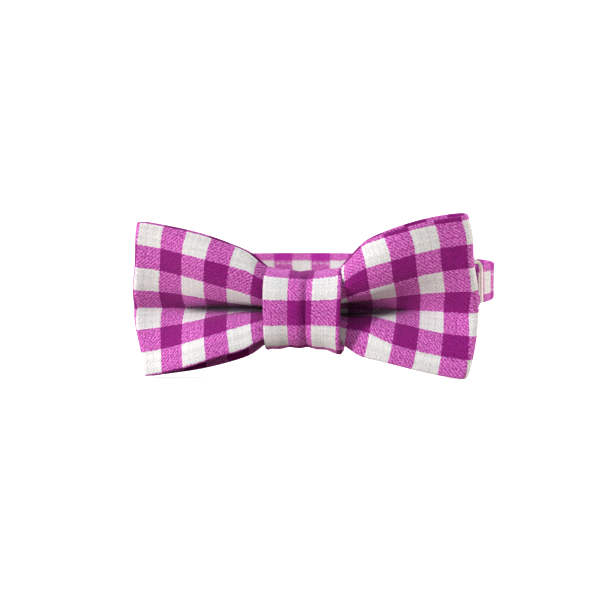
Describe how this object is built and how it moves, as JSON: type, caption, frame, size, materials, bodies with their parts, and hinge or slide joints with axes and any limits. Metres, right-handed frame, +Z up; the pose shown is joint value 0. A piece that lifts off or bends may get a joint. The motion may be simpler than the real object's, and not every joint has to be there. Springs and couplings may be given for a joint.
{
  "type": "bow tie",
  "caption": "Pre-tied gingham bow tie: gathered fabric bow under a wrapped knot, on an adjustable neckband with a slide and a hook and eye clasp.",
  "frame": {"origin": "middle of the neckband's ring, half way up the band", "axes": "+X towards the viewer's right, +Y from the bow to the back of the neck, so the bow faces -Y, +Z up"},
  "size_m": [0.0968, 0.1091, 0.0416],
  "materials": {
    "bow_gingham": "woven cotton gingham, matte",
    "knot_gingham": "woven cotton gingham, matte",
    "band_gingham": "woven cotton gingham, matte",
    "interlining": "plain white woven stiffener",
    "thread": "spun polyester sewing thread",
    "nickel": "polished nickel plate"
  },
  "bodies": {
    "bow": {"bow_shell": "bow_gingham", "bow_interlining": "interlining", "gather_thread": "thread", "bow_end_stitches": "thread", "knot_wrap": "knot_gingham", "knot_interlining": "interlining", "knot_stitches": "thread", "left_band": "band_gingham", "left_band_interlining": "interlining", "eye_bar_tack": "thread"},
    "right_strap": {"right_band": "band_gingham", "right_band_interlining": "interlining", "hook_bar_tack": "thread"},
    "slider": {"slide": "nickel", "slide_bar_tack": "thread", "band_tail": "band_gingham"},
    "clasp_hook": {"hook": "nickel"},
    "clasp_eye": {"eye": "nickel"}
  },
  "joints": [
    {"name": "right_band_swing", "type": "hinge", "parent": "bow", "child": "right_strap", "pos_m": [0.0109, -0.0492, 0], "axis": [0, 0, -1], "range_deg": [0, 22]},
    {"name": "slide_travel", "type": "hinge", "parent": "right_strap", "child": "slider", "pos_m": [0, 0, 0], "axis": [0, 0, 1], "range_deg": [-8, 50], "deforming": ["band_tail"]},
    {"name": "hook_pivot", "type": "hinge", "parent": "right_strap", "child": "clasp_hook", "pos_m": [0.03462, 0.03318, 0], "axis": [0, 0, -1], "range_deg": [0, 60]},
    {"name": "eye_pivot", "type": "hinge", "parent": "bow", "child": "clasp_eye", "pos_m": [0.02382, 0.04161, 0], "axis": [0, 0, -1], "range_deg": [0, 50]}
  ]
}
